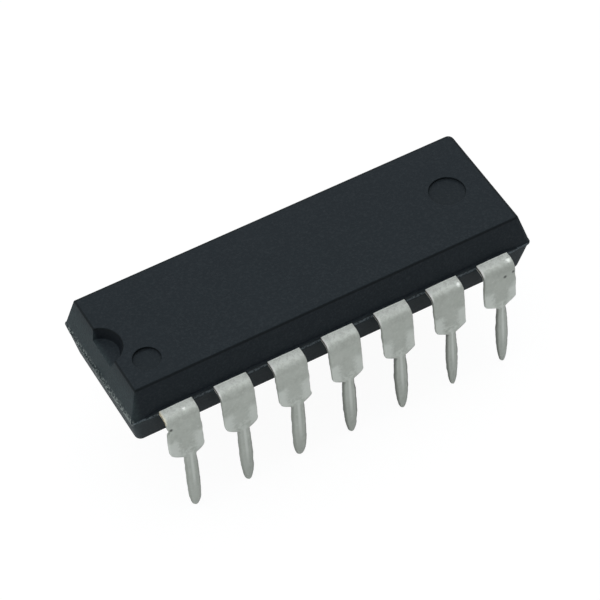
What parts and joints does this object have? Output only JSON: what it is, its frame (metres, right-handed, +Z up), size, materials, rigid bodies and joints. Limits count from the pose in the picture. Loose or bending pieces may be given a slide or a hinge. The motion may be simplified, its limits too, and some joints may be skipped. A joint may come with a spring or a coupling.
{
  "type": "dip integrated circuit chip",
  "caption": "Dual in-line integrated circuit package: drafted black epoxy body with an end notch and a dimple, and two rows of bent shouldered leads.",
  "frame": {"origin": "under the middle of the body, in the plane of the lead tips", "axes": "+X along the body, away from the notched end; +Y across the body, away from the row that holds lead 1; +Z up, out of the marked face"},
  "size_m": [0.0194, 0.0084, 0.0074],
  "materials": {
    "epoxy": "fine-grained matt moulding compound, bluish black",
    "solder_plate": "dull tin-lead dip over a copper alloy strip",
    "bare_copper": "stamped copper alloy strip",
    "adhesive": "silver-filled epoxy",
    "silicon": "polished chip with a fine circuit pattern",
    "gold_wire": "bright drawn gold wire"
  },
  "bodies": {
    "root": {"moulded_body": "epoxy", "lead_1": "solder_plate", "lead_2": "solder_plate", "lead_3": "solder_plate", "lead_4": "solder_plate", "lead_5": "solder_plate", "lead_6": "solder_plate", "lead_7": "solder_plate", "lead_8": "solder_plate", "lead_9": "solder_plate", "lead_10": "solder_plate", "lead_11": "solder_plate", "lead_12": "solder_plate", "lead_13": "solder_plate", "lead_14": "solder_plate", "die_pad": "bare_copper", "die_attach": "adhesive", "die": "silicon", "bond_wire_1": "gold_wire", "bond_wire_2": "gold_wire", "bond_wire_3": "gold_wire", "bond_wire_4": "gold_wire", "bond_wire_5": "gold_wire", "bond_wire_6": "gold_wire", "bond_wire_7": "gold_wire", "bond_wire_8": "gold_wire", "bond_wire_9": "gold_wire", "bond_wire_10": "gold_wire", "bond_wire_11": "gold_wire", "bond_wire_12": "gold_wire", "bond_wire_13": "gold_wire", "bond_wire_14": "gold_wire"}
  },
  "joints": []
}
